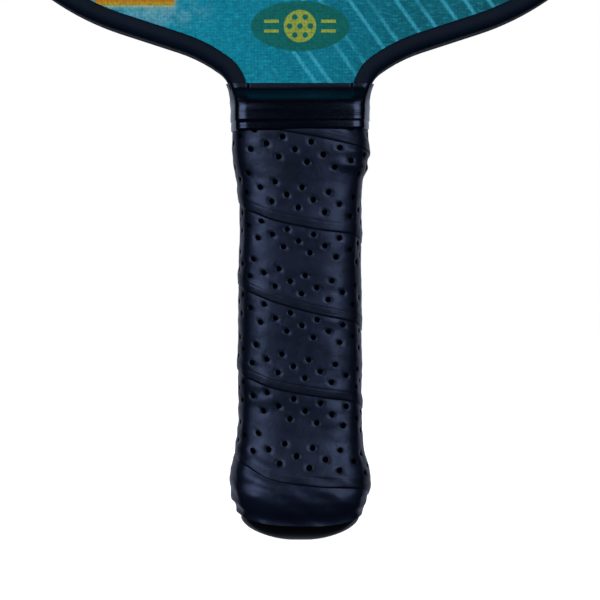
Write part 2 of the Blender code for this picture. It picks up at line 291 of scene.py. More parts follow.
@dataclass(frozen=True)
class PrintedFilm:
    """Film printed in translucent inks and pressed on a glass weave, so that its threads show as a grain.

    Across and up are the place on the face, in metres, and ink is the colour printed so far.
    """

    name: str = "printed_film"
    thread_mm: float = 0.9
    stroke_slope: float = 1.4
    oval_height: float = 0.1483
    oval_half: Shape = (0.0142, 0.0072)
    bars_height: float = 0.1543

    def grain(self, tree: bpy.types.NodeTree, place: object, size_mm: float, **detail: float) -> Value:
        """Noise over the face, with blots of a size."""
        values = {"Scale": 1.0 / (size_mm * MM)} | {key.title(): value for key, value in detail.items()}
        return Value(tree, add(tree, "TexNoise", {"Vector": place}, values).outputs["Fac"])

    def build(self) -> bpy.types.Material:
        """Builds the material."""
        material, tree = new_material(self.name)
        place = add(tree, "TexCoord").outputs["Object"]
        axes = add(tree, "SeparateXYZ", {"Vector": place})
        across, up = Value(tree, axes.outputs["X"]), Value(tree, axes.outputs["Z"])
        flecks = self.grain(tree, place, 3.0, detail=3.0)
        ink = self.ground(tree, place, across)
        ink = self.haze(across, up, flecks, ink)
        ink = self.badge(across, up, self.grain(tree, place, 9.0, detail=2.0), ink)
        ink = self.bars(across, up, flecks, ink)
        # Weave of the glass cloth, which darkens the ink between its threads
        waves = []
        for axis in ("X", "Z"):
            values = {"Scale": 0.314 / (self.thread_mm * MM), "Distortion": 0.8, "Detail": 1.0}
            wave = add(tree, "TexWave", {"Vector": place}, values, bands_direction=axis)
            waves.append(Value(tree, wave.outputs["Fac"]))
        weave = waves[0] * waves[1]
        mottle = self.grain(tree, place, 0.7, detail=3.0, roughness=0.7)
        dark = ink.inked(mottle.step(0.34, 0.66) * 0.36 + weave * 0.20, "00343f")
        bump = add(
            tree, "Bump", {"Height": (weave + mottle).socket}, {"Strength": 0.12, "Distance": 0.05 * MM}
        )
        shader = add(
            tree,
            "BsdfPrincipled",
            {"Base Color": dark.socket, "Normal": bump.outputs["Normal"]},
            {"Roughness": 0.45, "IOR": 1.5, "Specular IOR Level": 0.08},
        )
        add(tree, "OutputMaterial", {"Surface": shader.outputs["BSDF"]})
        return material

    def ground(self, tree: bpy.types.NodeTree, place: object, across: Value) -> Value:
        """Teal ground that darkens and turns greener from left to right, with clouds and pale threads."""
        ends = {"From Min": -0.07, "From Max": 0.07}
        share = add(tree, "MapRange", {"Value": across.socket}, ends).outputs["Result"]
        stops = [(0.0, "0aa8c9"), (0.3, "0098b6"), (0.52, "0089a5"), (0.72, "007084"), (1.0, "075760")]
        ink = Value(tree, add(tree, "ValToRGB", {"Fac": share}, stops=stops).outputs["Color"])
        # Clouds a few centimetres wide, where the ink lies thin or thick
        cloud = self.grain(tree, place, 16.0, detail=5.0, roughness=0.62)
        ink = ink.inked(cloud.step(0.45, 0.75) * 0.30, "28abcb")
        ink = ink.inked(cloud.step(0.5, 0.25) * 0.35, "00647c")
        # Pale threads that show through the ink in short level dashes
        dashes = {"Scale": (1.0 / (2.4 * MM), 1.0 / (2.4 * MM), 1.0 / (0.6 * MM))}
        drawn = add(tree, "Mapping", {"Vector": place}, dashes).outputs["Vector"]
        threads = add(tree, "TexNoise", {"Vector": drawn}, {"Scale": 1.0, "Detail": 2.0})
        return ink.inked(Value(tree, threads.outputs["Fac"]).step(0.48, 0.72) * 0.34, "30c8e6")

    def haze(self, across: Value, up: Value, flecks: Value, ink: Value) -> Value:
        """Lays a pale, flecked haze under the bright bars."""
        haze_x = (across + 0.044) * 45.0
        haze_z = (up - 0.1525) * 130.0
        away = (haze_x * haze_x + haze_z * haze_z).math("SQRT")
        return ink.inked(away.step(1.0, 0.1) * flecks.step(0.3, 0.65) * 0.75, "7cc0d4")

    def strokes(self, slant: Value, start_mm: float, pitch_mm: float) -> Value:
        """One family of parallel strokes, from the distance across them."""
        folded = (slant - start_mm * MM).math("PINGPONG", pitch_mm * MM / 2.0)
        return folded.step(1.0 * MM, 0.25 * MM)

    def badge(self, across: Value, up: Value, wear: Value, ink: Value) -> Value:
        """Prints pale strokes, thinned by wear, and the darker oval that they stop at."""
        oval_x = across / self.oval_half[0]
        oval_z = (up - self.oval_height) / self.oval_half[1]
        inside = (oval_x * oval_x + oval_z * oval_z).step(1.04, 0.96)
        # Two families whose pitches differ a little, so that the gaps between them drift
        slant = across + up / self.stroke_slope
        lines = self.strokes(slant, 98.8, 13.35).math("MAXIMUM", self.strokes(slant, 103.1, 13.9))
        lines = lines * wear.step(0.25, 0.6)
        # They start on a slanted, ragged edge and thin out towards the crown
        start = across + (wear - 0.5) * 0.05 - (up - 0.158).math("MAXIMUM") * 0.42
        lines = lines * start.step(-0.006, 0.005) * up.step(0.36, 0.20) * (1.0 - inside)
        ink = ink.inked(lines * 0.7, "45c6e6").inked(inside * 0.85, "0a6e5e")
        return ink.inked(self.motif(across, up), "b4c43c")

    def motif(self, across: Value, up: Value) -> Value:
        """How much ink a ball with seven holes, between two pairs of bars, takes at a place."""
        high = up - self.oval_height
        radius = (across * across + high * high).math("SQRT")
        # Six holes lie round the middle one, so their sectors are folded into one
        sector = math.radians(60.0)
        turned = high.math("ARCTAN2", across) + math.radians(390.0)
        local = turned.math("MODULO", sector) - sector / 2.0
        near_x = radius * local.math("COSINE") - 0.0030
        near_z = radius * local.math("SINE")
        holes = (near_x * near_x + near_z * near_z).math("SQRT").math("MINIMUM", radius)
        ball = radius.step(4.75 * MM, 4.55 * MM) * holes.step(0.72 * MM, 0.92 * MM)
        sideways, level = across.math("ABSOLUTE"), high.math("ABSOLUTE")
        bars = (high + 0.0014).math("PINGPONG", 0.0014).step(0.50 * MM, 0.40 * MM)
        bars = bars * sideways.step(6.0 * MM, 6.2 * MM) * sideways.step(10.4 * MM, 10.2 * MM)
        bars = bars * level.step(3.2 * MM, 3.1 * MM)
        return ball.math("MAXIMUM", bars) * 0.85

    def bars(self, across: Value, up: Value, flecks: Value, ink: Value) -> Value:
        """Prints a stack of slanted bars, yellow with a red-orange body, over a pale glow."""
        high = up - self.bars_height
        lean = across - high * 0.45
        right = lean + high * 0.32
        stack = high.step(-0.0022, -0.0002) * high.step(0.0320, 0.0318)
        rise = (high + 0.016).math("MODULO", 0.008)
        bar = rise.step(-0.0004, 0.0003) * rise.step(0.0053, 0.0049)
        span = lean.step(-0.0598, -0.0592) * right.step(-0.0360, -0.0366)
        body = span * bar * stack
        wide = lean.step(-0.0612, -0.0590) * right.step(-0.0348, -0.0370)
        glow = wide * (high.step(-0.0014, -0.0002) * high.step(0.002, 0.001))
        ink = ink.inked(glow * 0.55, "c3d27a").inked(body, "cfa30a")
        return ink.inked(body * rise.step(0.0007, 0.0020) * flecks.step(0.1, 0.4), "e2571a")


@dataclass(frozen=True)
class CushionLeather:
    """Coated leather cloth on foam, wound under pull: near-black navy, satin, lined along its edge."""

    name: str = "cushion_leather"
    edge: str = "0c101c"

    def build(self) -> bpy.types.Material:
        """Builds the material."""
        material, tree = new_material(self.name)
        strip = add(tree, "UVMap", uv_map="strip").outputs["UV"]
        down = add(tree, "SeparateXYZ", {"Vector": strip}).outputs["Y"]
        place = add(tree, "TexCoord").outputs["Object"]
        cloud = add(tree, "TexNoise", {"Vector": place}, {"Scale": 1.0 / (9.0 * MM), "Detail": 4.0})
        stops = [(0.3, "070b16"), (0.7, "0d1223")]
        tint = add(tree, "ValToRGB", {"Fac": cloud.outputs["Fac"]}, stops=stops)
        # Margin pressed along the strip's lower edge, which starts 22 mm down
        margin = Value(tree, down).step(-21.6 * MM, -22.4 * MM)
        tint = Value(tree, tint.outputs["Color"]).inked(margin, self.edge)
        # Fine draw lines, 0.35 mm apart, that run with the strip and are strongest on the margin
        drawn = {"Scale": (40.0, 1.0 / (0.35 * MM), 1.0)}
        stretched = add(tree, "Mapping", {"Vector": strip}, drawn).outputs["Vector"]
        lined = {"Scale": 1.0, "Detail": 3.0, "Roughness": 0.6}
        lines = Value(tree, add(tree, "TexNoise", {"Vector": stretched}, lined).outputs["Fac"])
        lines = lines * (margin * 0.88 + 0.12)
        # Pebbled grain of 0.5 mm over softer dimples, so that the highlights are uneven
        pebbled = {"Scale": 1.0 / (0.55 * MM)}
        grain = add(tree, "TexVoronoi", {"Vector": place}, pebbled, feature="SMOOTH_F1").outputs["Distance"]
        dimpled = {"Scale": 1.0 / (2.6 * MM), "Detail": 5.0, "Roughness": 0.55}
        soft = add(tree, "TexNoise", {"Vector": place}, dimpled).outputs["Fac"]
        normal = None
        heights = ((grain, 0.10, 0.06), (soft, 0.35, 0.25), (lines.socket, 0.5, 0.12))
        for height, strength, distance_mm in heights:
            links = {"Height": height} | ({"Normal": normal} if normal else {})
            bump = add(tree, "Bump", links, {"Strength": strength, "Distance": distance_mm * MM})
            normal = bump.outputs["Normal"]
        ends = {"From Min": 0.3, "From Max": 0.7, "To Min": 0.3, "To Max": 0.41}
        rough = add(tree, "MapRange", {"Value": soft}, ends).outputs["Result"]
        # The pale blue specular tint stands in for cool soft boxes: a painted blue tint on the reflections
        shader = add(
            tree,
            "BsdfPrincipled",
            {"Base Color": tint.socket, "Roughness": rough, "Normal": normal},
            {"IOR": 1.5, "Specular Tint": linear("acc4ff"), "Specular IOR Level": 0.38},
        )
        add(tree, "OutputMaterial", {"Surface": shader.outputs["BSDF"]})
        return material


@dataclass(frozen=True)
class GlossVinyl:
    """Rolled vinyl tape, stretched as it is wound: near-black and glossy, with faint stretch waves."""

    name: str = "gloss_vinyl"
    colour: str = "03060c"

    def build(self) -> bpy.types.Material:
        """Builds the material."""
        material, tree = new_material(self.name)
        place = add(tree, "TexCoord").outputs["Object"]
        # Waves that run round the handle, 1.6 mm apart, and bend the reflections
        level = {"Scale": (60.0, 60.0, 1.0 / (1.6 * MM))}
        stretched = add(tree, "Mapping", {"Vector": place}, level).outputs["Vector"]
        waved = {"Scale": 1.0, "Detail": 3.0, "Distortion": 0.4}
        waves = add(tree, "TexNoise", {"Vector": stretched}, waved).outputs["Fac"]
        tint = add(tree, "ValToRGB", {"Fac": waves}, stops=[(0.3, "010205"), (0.7, self.colour)])
        # Glossy where the tape is stretched tight, duller where it sags down to the board
        fine = add(tree, "TexNoise", {"Vector": place}, {"Scale": 1.0 / (0.8 * MM), "Detail": 2.0})
        tight = add(tree, "MapRange", {"Value": fine.outputs["Fac"]}, {"To Min": 0.12, "To Max": 0.25})
        height = add(tree, "SeparateXYZ", {"Vector": place}).outputs["Z"]
        ends = {"From Min": 125.5 * MM, "From Max": 127.5 * MM, "To Max": 0.14}
        sag = add(tree, "MapRange", {"Value": height}, ends)
        rough = Value(tree, tight.outputs["Result"]) + Value(tree, sag.outputs["Result"])
        bump = add(tree, "Bump", {"Height": waves}, {"Strength": 0.35, "Distance": 0.3 * MM})
        links = {
            "Base Color": tint.outputs["Color"],
            "Roughness": rough.socket,
            "Normal": bump.outputs["Normal"],
        }
        # The pale blue specular tint stands in for cool soft boxes: a painted blue tint on the reflections
        shine = {"IOR": 1.53, "Specular Tint": linear("acc4ff"), "Specular IOR Level": 0.42}
        shader = add(tree, "BsdfPrincipled", links, shine)
        add(tree, "OutputMaterial", {"Surface": shader.outputs["BSDF"]})
        return material


# ---------------------------------------------------------------- shapes


@dataclass(frozen=True)
class RoundedSection:
    """Cross-section of the handle: crowned faces that curl into rounded corners. Sizes in millimetres."""

    half_width: float
    half_depth: float
    crown: float = 6.0
    curl: float = 15.0
    curl_turn: float = 26.0
    corner: float = 3.2
    side_turn: float = 68.0

    def runs(self) -> list[tuple[float, float, float]]:
        """Arcs of one quarter, from the front's middle to the side's middle.

        Returns:
            Radius, length and heading at the start of each arc.
        """
        rise, curled, turned = (math.radians(a) for a in (self.crown, self.curl_turn, self.side_turn))
        across = self.curl * (math.sin(curled) - math.sin(rise))
        across += self.corner * (math.sin(turned) - math.sin(curled))
        inward = self.curl * (math.cos(rise) - math.cos(curled))
        inward += self.corner * (math.cos(curled) - math.cos(turned))
        a, b = math.sin(rise), 1.0 - math.sin(turned)
        c, d = 1.0 - math.cos(rise), math.cos(turned)
        right, deep = self.half_width - across, self.half_depth - inward
        front = (right * d - deep * b) / (a * d - b * c)
        side = (deep * a - right * c) / (a * d - b * c)
        return [
            (front, front * rise, 0.0),
            (self.curl, self.curl * (curled - rise), rise),
            (self.corner, self.corner * (turned - curled), curled),
            (side, side * (math.pi / 2.0 - turned), turned),
        ]

    def at(self, turn: float) -> Station:
        """Place and outward direction on the section.

        Args:
            turn: Share of the way round, from the front's middle towards the right.

        Returns:
            Place in millimetres and unit direction, both flat in X and Y.
        """
        quarter, share = divmod((turn % 1.0) * 4.0, 1.0)
        if quarter in (1.0, 3.0):
            share = 1.0 - share
        runs = self.runs()
        rest = share * sum(run[1] for run in runs)
        x, y, heading = 0.0, self.half_depth, 0.0
        for radius, length, start in runs:
            step = min(rest, length)
            heading = start + step / radius
            x += radius * (math.sin(heading) - math.sin(start))
            y += radius * (math.cos(heading) - math.cos(start))
            rest -= step
            if rest <= 1e-9:
                break
        out_x, out_y = math.sin(heading), math.cos(heading)
        flip_x = -1.0 if quarter >= 2.0 else 1.0
        flip_y = -1.0 if quarter in (0.0, 3.0) else 1.0
        return Vector((flip_x * x, flip_y * y, 0.0)), Vector((flip_x * out_x, flip_y * out_y, 0.0))


@dataclass
class HeadOutline:
    """Outline of the paddle's head and neck, in metres, as headings turned clockwise from the crown."""

    length: float = 0.397
    half_width: float = 0.1015
    crown_turn: float = 12.0
    top_corner: float = 0.064
    lower_corner: float = 0.0625
    lower_end: float = 135.0
    shoulder: float = 0.078
    shoulder_end: float = 162.0
    shoulder_straight: float = 0.0175
    flare: float = -0.0427
    flare_end: float = 143.75
    neck: float = -0.0079
    neck_end: float = 108.0
    neck_straight: float = 0.0026
    guard_end: float = 0.129

    def runs(self) -> list[tuple[float, float, float]]:
        """Radius (0 for a straight), end heading and straight length of each run, the side solved to fit."""
        turn = math.sin(math.radians(self.crown_turn))
        crown = (self.half_width - self.top_corner * (1.0 - turn)) / turn
        runs = [
            (crown, self.crown_turn, 0.0),
            (self.top_corner, 90.0, 0.0),
            (0.0, 90.0, 0.0),
            (self.lower_corner, self.lower_end, 0.0),
            (self.shoulder, self.shoulder_end, 0.0),
            (0.0, self.shoulder_end, self.shoulder_straight),
            (self.flare, self.flare_end, 0.0),
            (self.neck, self.neck_end, 0.0),
            (0.0, self.neck_end, self.neck_straight),
        ]
        low = self.length
        heading = 0.0
        for radius, end, straight in runs:
            if radius:
                low += radius * (math.cos(math.radians(end)) - math.cos(math.radians(heading)))
                heading = end
            else:
                low -= straight * math.sin(math.radians(end))
        runs[2] = (0.0, 90.0, low - self.guard_end)
        return runs

    def stations(self, step: float = 3.0) -> list[Station]:
        """Places round the outline from the left end over the crown to the right end.

        Args:
            step: Largest distance between two places, in millimetres.

        Returns:
            Place and inward direction of each, in X and Z.
        """
        point = Vector((0.0, 0.0, self.length))
        heading = 0.0
        half = [(point.copy(), Vector((0.0, 0.0, -1.0)))]
        for radius, end, straight in self.runs():
            span = abs(radius * math.radians(end - heading)) if radius else straight
            count = max(2, math.ceil(span / (step * MM)), math.ceil(abs(end - heading) / 4.0))
            start = heading
            origin = point.copy()
            for i in range(1, count + 1):
                now = start + (end - start) * i / count
                if radius:
                    one, two = math.radians(start), math.radians(now)
                    point = origin + Vector((
                        radius * (math.sin(two) - math.sin(one)),
                        0.0,
                        radius * (math.cos(two) - math.cos(one)),
                    ))
                else:
                    one = math.radians(end)
                    point = origin + Vector((math.cos(one), 0.0, -math.sin(one))) * (straight * i / count)
                turn = math.radians(now)
                half.append((point.copy(), Vector((-math.sin(turn), 0.0, -math.cos(turn)))))
            heading = end
        left = [(Vector((-p.x, 0.0, p.z)), Vector((-n.x, 0.0, n.z))) for p, n in reversed(half[1:])]
        return left + half


@dataclass
class EdgeGuard:
    """Extruded plastic channel round the board's edge."""

    outline: HeadOutline
    material: bpy.types.Material

    def section(self) -> list[Shape]:
        """Closed channel section as inset from the outer edge and depth, in millimetres."""
        front = [
            (4.9, 7.45), (5.0, 7.6), (5.0, 7.95), (4.88, 8.16), (4.6, 8.33), (4.0, 8.48),
            (3.3, 8.58), (2.6, 8.6),
        ]
        for turn in (15.0, 30.0, 45.0, 60.0, 75.0, 90.0):
            bend = math.radians(turn)
            front.append((2.6 - 2.6 * math.sin(bend), 6.0 + 2.6 * math.cos(bend)))
        front += [(0.0, 3.0), (0.0, 0.32), (0.10, 0.12)]
        rear = [(inset, -depth) for inset, depth in reversed(front)]
        inner = [(1.3, -7.4), (1.3, 0.0), (1.3, 7.4), (4.9, 7.45)]
        return front + rear + inner

    def build(self) -> bpy.types.Object:
        """Sweeps the channel along the outline."""
        stations = self.outline.stations()
        shape = self.section()

        def place(column: int, row: int) -> Vector:
            """Puts a crossing of the sweep in place."""
            point, inward = stations[column]
            inset, depth = shape[row]
            return point + inward * (inset * MM) + Vector((0.0, -depth * MM, 0.0))

        mesh = laid_grid(len(stations), len(shape), place)
        bmesh.ops.remove_doubles(mesh, verts=mesh.verts, dist=0.002 * MM)
        ends = [edge for edge in mesh.edges if edge.is_boundary]
        bmesh.ops.holes_fill(mesh, edges=ends, sides=0)
        bmesh.ops.recalc_face_normals(mesh, faces=mesh.faces)
        piece = finish_piece(mesh, "extruded_edge_guard", self.material)
        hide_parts("edge_guard")
        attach(piece, "root")
        return piece


class SpiralGrip:
    """Perforated cushion strip wound down the handle, each turn lapping the next."""

    columns_per_turn = 111
    column_mm = 1.055
    row_mm = 0.6875
    first_turn = -2.5
    last_turn = 4.0
    last_hole_turn = 2.72
    strip_mm = 24.4
    liner_mm = 1.6
    foot_mm = 5.6
    middle_mm = 60.0
    top_mm = 124.0
    hole_rows = (1.7, 4.45, 7.2, 14.1, 16.85, 19.6)
    hole_mm = 0.95
    body = [
        (5.0, 18.1, 13.6), (7.0, 18.3, 13.35), (7.7, 18.55, 13.75), (8.6, 18.85, 14.6),
        (9.6, 19.15, 15.15), (11.5, 19.6, 15.7), (13.8, 20.0, 15.8), (16.1, 20.25, 15.55),
        (18.4, 20.35, 15.2), (20.7, 20.1, 14.8), (23.1, 19.5, 14.35), (25.4, 18.7, 13.9),
        (30.0, 18.15, 13.3), (37.0, 17.95, 12.95), (51.0, 18.0, 12.95), (70.0, 17.8, 12.9),
        (88.0, 17.6, 12.85), (98.0, 17.75, 12.9), (103.0, 18.1, 13.0), (106.0, 18.8, 13.1),
        (110.0, 19.5, 13.2), (114.0, 19.75, 13.2), (128.0, 19.6, 13.15),
    ]
    seam_turns = (-0.16, -0.07, 0.045, 0.15)
    seams = [
        (145.6, 142.6, 140.2, 137.6), (121.3, 118.6, 116.2, 113.6), (95.7, 92.3, 89.75, 88.3),
        (72.5, 68.9, 65.5, 63.3), (47.6, 44.2, 41.9, 40.3), (23.6, 18.3, 16.2, 15.4),
        (-1.0, -5.0, -8.0, -9.0), (-25.0, -29.0, -32.0, -33.0),
    ]
    skew = 5.0 / 111.0

    def __init__(self, material: bpy.types.Material, foam: bpy.types.Material) -> None:
        """Keeps the strip's materials and works out the seam's way down the handle."""
        self.material = material
        # The second material is the near-black lining of the holes, which paints their shade
        self.foam = foam
        self.knots: list[Shape] = []
        for number, heights in enumerate(self.seams):
            for turn, height in zip(self.seam_turns, heights):
                self.knots.append((number - 2.0 + turn, height))

    def seam(self, turn: float) -> float:
        """Height of the seam, in millimetres.

        Args:
            turn: Turns from the front's middle of the first full seam.

        Returns:
            Its height.
        """
        knots = self.knots
        here = 0
        while here < len(knots) - 2 and turn > knots[here + 1][0]:
            here += 1
        (a, low), (b, high) = knots[here], knots[here + 1]
        before = knots[max(here - 1, 0)]
        after = knots[min(here + 2, len(knots) - 1)]
        if here == 0 and turn < a:
            return low + (turn - a) * -24.0
        slope_a = (high - before[1]) / (b - before[0])
        slope_b = (after[1] - low) / (after[0] - a)
        t = (turn - a) / (b - a)
        h = b - a
        return (
            (2 * t**3 - 3 * t**2 + 1) * low
            + (t**3 - 2 * t**2 + t) * h * slope_a
            + (-2 * t**3 + 3 * t**2) * high
            + (t**3 - t**2) * h * slope_b
        )

    def rows(self) -> list[float]:
        """Distances of the grid's rows from the strip's upper edge, in millimetres."""
        rows = [0.0]
        rows += [0.325 + self.row_mm * i for i in range(13)]
        rows += [8.575 + 1.0375 * i for i in range(1, 5)]
        rows += [12.725 + self.row_mm * i for i in range(1, 13)]
        return rows + [21.45, 21.85, 22.1, 22.22, 22.34, 22.6, 23.2, 23.8, 24.15, 24.3, 24.37, 24.4]

    def relief(self, down: float) -> float:
        """How far the strip stands off the winding, at a distance from its upper edge, in millimetres."""
        table = [
            (0.0, -0.10), (1.2, 0.02), (5.0, 0.0), (12.0, 0.02), (17.0, 0.06), (20.0, 0.20),
            (21.3, 0.36), (21.9, 0.38), (22.1, 0.31), (22.3, 0.34), (23.2, 0.30), (24.15, 0.24),
            (24.3, 0.16), (24.4, -0.10),
        ]
        return along(table, down)[0]

    def wound(self, run: float, down: float, lift: float) -> Vector:
        """Place of a point of the flat strip once wound.

        Args:
            run: Turns along the strip.
            down: Millimetres below the strip's upper edge.
            lift: Millimetres above the strip's own surface.

        Returns:
            The place, in metres.
        """
        run -= self.skew * down / self.strip_mm
        top, bottom = self.seam(run), self.seam(run + 1.0)
        height = top - (top - bottom) * down / self.strip_mm
        wide, deep = along(self.body, height)
        flat, out = RoundedSection(wide, deep, crown=7.0, curl=18.0).at(run)
        spot = Vector((flat.x, flat.y, height))
        rise = self.relief(down) * (1.0 - 0.8 * smooth(118.0, 121.0, height))
        rise *= 1.0 - 0.9 * smooth(2.86, 2.95, run) * smooth(1.0, 3.0, down)
        loose = 1.0 - smooth(117.5, 120.0, height)
        rise += loose * 0.30 * noise.noise(spot / 13.0 + Vector((3.1, 7.7, 1.3)))
        rise += loose * 0.12 * noise.noise(spot / 4.5)
        ruck = noise.noise(Vector((spot.x / 9.0, spot.y / 9.0, spot.z / 2.6)))
        rise += loose * (0.25 - 0.12 * smooth(40.0, 70.0, height)) * ruck * smooth(3.0, 12.0, abs(spot.x))
        rise += loose * self.folds(spot)
        lift *= 1.0 - 0.95 * min(abs(out.x), abs(out.y))
        return (spot + out * (rise + lift)) * MM

    def folds(self, spot: Vector) -> float:
        """Puckers where the strip starts at the neck and where it is pulled over the butt, in millimetres.

        Args:
            spot: Place on the winding, in millimetres.

        Returns:
            Height of the folds there.
        """
        total = 0.0
        right = smooth(8.0, 17.0, spot.x) * (1.0 - smooth(2.0, 12.0, spot.y))
        for middle, size, width in ((112.0, 0.55, 1.5), (107.9, 0.75, 1.3), (105.0, -0.22, 0.7)):
            off = spot.z - middle - 0.10 * (16.0 - spot.x)
            total += right * size * math.exp(-((off / width) ** 2))
        butt = 1.0 - smooth(18.0, 22.0, spot.z)
        wave = spot.x * 0.55 + spot.z * 1.1 + 2.0 * noise.noise(spot / 9.0)
        return total + butt * 0.11 * math.sin(wave)

    def hem(self, flat: Vector, height: float) -> float:
        """Wander of the strip's cut edge at the butt, in millimetres: it rises towards the sides."""
        low = 1.0 - smooth(6.0, 13.0, height)
        side = abs(flat.x) / 17.0
        return low * (-0.75 + 2.6 * side**3 + (0.2 if flat.x < 0.0 else -0.3) * side)

    def build(self) -> bpy.types.Object:
        """Cuts the holes in the flat strip, winds it and closes it with its inner face."""
        rows = self.rows()
        count = round((self.last_turn - self.first_turn) * self.columns_per_turn)
        mesh = laid_grid(count + 1, len(rows), lambda c, r: Vector((float(c), -rows[r], 0.0)))
        # The grid's rows run downwards here, so its faces are turned to look outwards
        bmesh.ops.reverse_faces(mesh, faces=mesh.faces)
        mesh.verts.ensure_lookup_table()
        rims = self.pierce(mesh, rows, count + 1)
        bmesh.ops.inset_region(mesh, faces=rims, thickness=0.12, depth=-0.10, use_even_offset=True)
        bmesh.ops.inset_region(mesh, faces=rims, thickness=0.04, depth=-0.5, use_even_offset=True)
        # The holes' floors and walls take the second material, whose near-black is painted shade in the holes
        for face in rims:
            face.material_index = 1
            for edge in face.edges:
                for wall in edge.link_faces:
                    wall.material_index = 1
        strip = mesh.loops.layers.uv.new("strip")
        for face in mesh.faces:
            for loop in face.loops:
                loop[strip].uv = (loop.vert.co.x * self.column_mm * MM, loop.vert.co.y * MM)
        for vert in mesh.verts:
            run = self.first_turn + vert.co.x / self.columns_per_turn
            vert.co = self.wound(run, -vert.co.y, vert.co.z)
        bmesh.ops.remove_doubles(mesh, verts=mesh.verts, dist=0.01 * MM)
        self.trim(mesh)
        for vert in mesh.verts:
            vert.co.z += self.hem(vert.co / MM, vert.co.z / MM) * MM
        self.line(mesh)
        piece = finish_piece(mesh, "wound_cushion_grip", self.material)
        # Second slot: the near-black painted shade of the holes
        piece.data.materials.append(self.foam)
        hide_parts("grip_wrap")
        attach(piece, "root")
        return piece

    def pierce(self, mesh: bmesh.types.BMesh, rows: list[float], columns: int) -> list[bmesh.types.BMFace]:
        """Rounds the four faces at each hole's middle into a disc.

        Args:
            mesh: The flat strip.
            rows: Distances of its rows.
            columns: Crossings in a row.

        Returns:
            The faces of all the discs.
        """
        faces = []
        for number, down in enumerate(self.hole_rows):
            row = min(range(len(rows)), key=lambda r: abs(rows[r] - down))
            shift = 6 if number in (1, 4) else 2
            for column in range(shift, columns - 2, 8):
                run = self.first_turn + column / self.columns_per_turn
                if run > self.last_hole_turn:
                    continue
                centre = mesh.verts[row * columns + column]
                faces.extend(centre.link_faces)
                for down_step in (-1, 0, 1):
                    for step in (-1, 0, 1):
                        if step or down_step:
                            vert = mesh.verts[(row + down_step) * columns + column + step]
                            away = math.atan2(-down_step * self.row_mm, step * 1.05)
                            vert.co.x = centre.co.x + self.hole_mm * math.cos(away) / self.column_mm
                            vert.co.y = centre.co.y + self.hole_mm * math.sin(away)
        return faces

    def trim(self, mesh: bmesh.types.BMesh) -> None:
        """Cuts the winding level at the tape and at the butt."""
        for height, side in ((self.top_mm * MM, Side.TOP), (self.foot_mm * MM, Side.BOTTOM)):
            geometry = list(mesh.verts) + list(mesh.edges) + list(mesh.faces)
            bmesh.ops.bisect_plane(
                mesh,
                geom=geometry,
                dist=0.002 * MM,
                plane_co=(0.0, 0.0, height),
                plane_no=(0.0, 0.0, float(side.value)),
                clear_outer=True,
            )

    def grow(
        self, mesh: bmesh.types.BMesh, ring: list[bmesh.types.BMEdge], shrink: Shape, height: float
    ) -> list[bmesh.types.BMEdge]:
        """Extrudes open edges towards the handle's axis.

        Args:
            mesh: The winding.
            ring: Open edges to extrude.
            shrink: Share of their width and depth to keep.
            height: Height to bring them to, in millimetres.

        Returns:
            The new open edges.
        """
        grown = bmesh.ops.extrude_edge_only(mesh, edges=ring)["geom"]
        for vert in (item for item in grown if isinstance(item, bmesh.types.BMVert)):
            vert.co.x *= shrink[0]
            vert.co.y *= shrink[1]
            vert.co.z = height * MM
        return [item for item in grown if isinstance(item, bmesh.types.BMEdge) and item.is_boundary]

    def line(self, mesh: bmesh.types.BMesh) -> None:
        """Gives the winding its inner face, so that it is a closed sleeve."""
        ends = [edge for edge in mesh.edges if edge.is_boundary]
        for edge in ends:
            edge.smooth = False
        rings = []
        for height, above in ((123.9, True), (8.4, False)):
            loop = [edge for edge in ends if (edge.verts[0].co.z > self.middle_mm * MM) == above]
            wide, deep = along(self.body, height)
            shrink = ((wide - self.liner_mm) / wide, (deep - self.liner_mm) / deep)
            rings.append(self.grow(mesh, loop, shrink, height))
            LOG.info("grip end at %.1f mm: %d edges", height, len(rings[-1]))
        ring, foot = rings
        wide, deep = along(self.body, 123.9)
        for height in (116.0, 110.0, 106.0, 103.0, 98.0, 70.0, 37.0, 30.0, 25.4, 20.7, 16.1, 11.5):
            new_wide, new_deep = along(self.body, height)
            shrink = (
                (new_wide - self.liner_mm) / (wide - self.liner_mm),
                (new_deep - self.liner_mm) / (deep - self.liner_mm),
            )
            ring = self.grow(mesh, ring, shrink, height)
            wide, deep = new_wide, new_deep
        bmesh.ops.bridge_loops(mesh, edges=ring + foot)
        bmesh.ops.recalc_face_normals(mesh, faces=mesh.faces)


